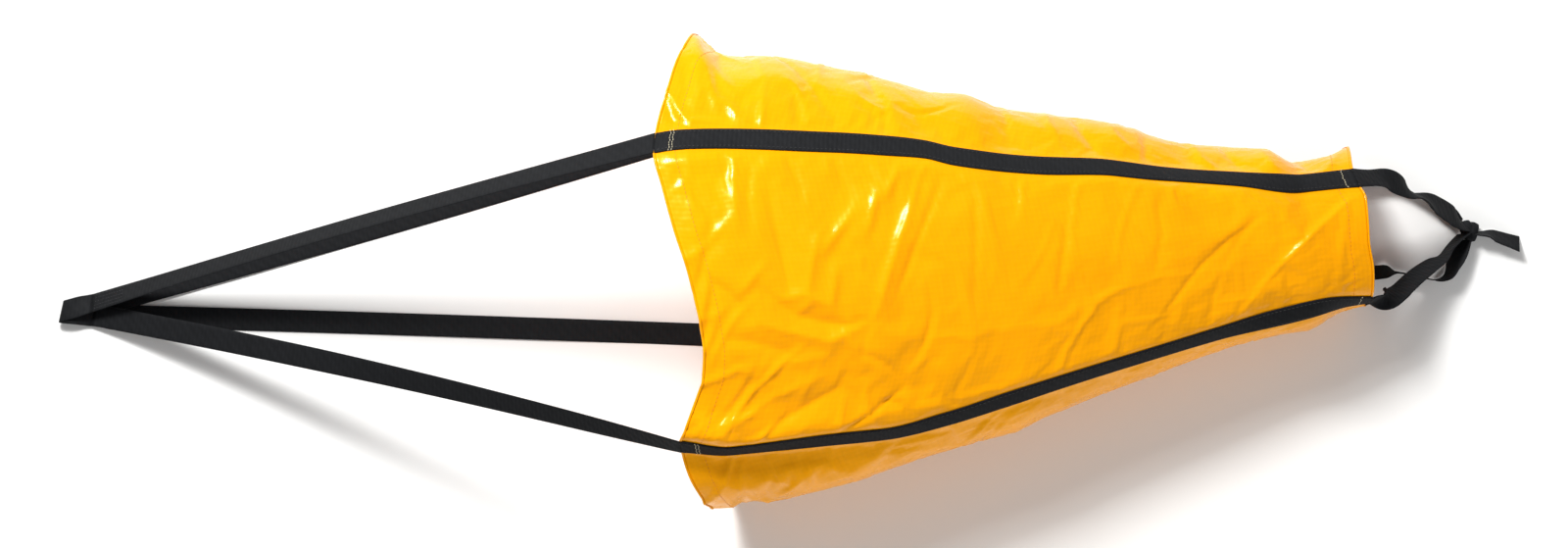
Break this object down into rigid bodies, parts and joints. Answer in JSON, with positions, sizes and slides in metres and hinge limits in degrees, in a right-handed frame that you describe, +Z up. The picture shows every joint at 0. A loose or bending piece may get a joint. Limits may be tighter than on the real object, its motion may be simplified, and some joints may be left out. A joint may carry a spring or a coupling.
{
  "type": "sea anchor drogue",
  "caption": "Soft cone of glossy coated fabric, open at both ends, with a webbing bridle to a tow eye and knotted webbing tails, towed behind a small boat as a drogue.",
  "frame": {"origin": "on the floor, under the middle of the whole anchor as it lies with its bridle and tails spread", "axes": "+X runs along the cone from its wide mouth to its small tail opening, +Z is up off the floor, +Y is the left side"},
  "size_m": [1.6411, 0.5108, 0.2803],
  "materials": {
    "cone_fabric": "glossy PVC coating on woven polyester",
    "hem_fabric": "glossy PVC coating on woven polyester",
    "webbing": "matt ribbed polypropylene webbing",
    "thread": "waxed polyester thread"
  },
  "bodies": {
    "cone": {"panel_top": "cone_fabric", "panel_left": "cone_fabric", "panel_belly": "cone_fabric", "panel_right": "cone_fabric", "mouth_hem": "hem_fabric", "tail_hem": "hem_fabric", "strap_upper_left": "webbing", "strap_lower_left": "webbing", "strap_lower_right": "webbing", "strap_upper_right": "webbing", "mouth_tack_upper_left": "thread", "mouth_tack_lower_left": "thread", "mouth_tack_lower_right": "thread", "mouth_tack_upper_right": "thread", "tail_tack_upper_left": "thread", "tail_tack_lower_left": "thread", "tail_tack_lower_right": "thread", "tail_tack_upper_right": "thread"},
    "bridle": {"leg_upper_left": "webbing", "leg_lower_left": "webbing", "leg_lower_right": "webbing", "leg_upper_right": "webbing", "eye_stitching": "thread"},
    "tow_eye": {"eye_inner": "webbing", "eye_outer": "webbing"},
    "tail_gather": {"tail_upper_left": "webbing", "tail_lower_left": "webbing", "tail_lower_right": "webbing", "tail_upper_right": "webbing", "tail_knot": "webbing"},
    "tail_tab": {"tail_tab": "webbing"}
  },
  "joints": [
    {"name": "bridle_lift", "type": "hinge", "parent": "cone", "child": "bridle", "pos_m": [-0.098, 0, 0.13], "axis": [0, 1, 0], "range_deg": [0, 60], "deforming": ["leg_upper_left", "leg_lower_left", "leg_lower_right", "leg_upper_right"]},
    {"name": "eye_fold", "type": "hinge", "parent": "bridle", "child": "tow_eye", "pos_m": [-0.78333, 0.01516, 0.00325], "axis": [-0.1728, 0.985, 0], "range_deg": [0, 75]},
    {"name": "tail_lift", "type": "hinge", "parent": "cone", "child": "tail_gather", "pos_m": [0.62, -0.005, 0.07], "axis": [0, -1, 0], "range_deg": [0, 60], "deforming": ["tail_upper_left", "tail_lower_left", "tail_lower_right", "tail_upper_right"]},
    {"name": "tab_fold", "type": "hinge", "parent": "tail_gather", "child": "tail_tab", "pos_m": [0.7739, -0.0204, 0.008], "axis": [0, -1, 0], "range_deg": [0, 80]}
  ]
}
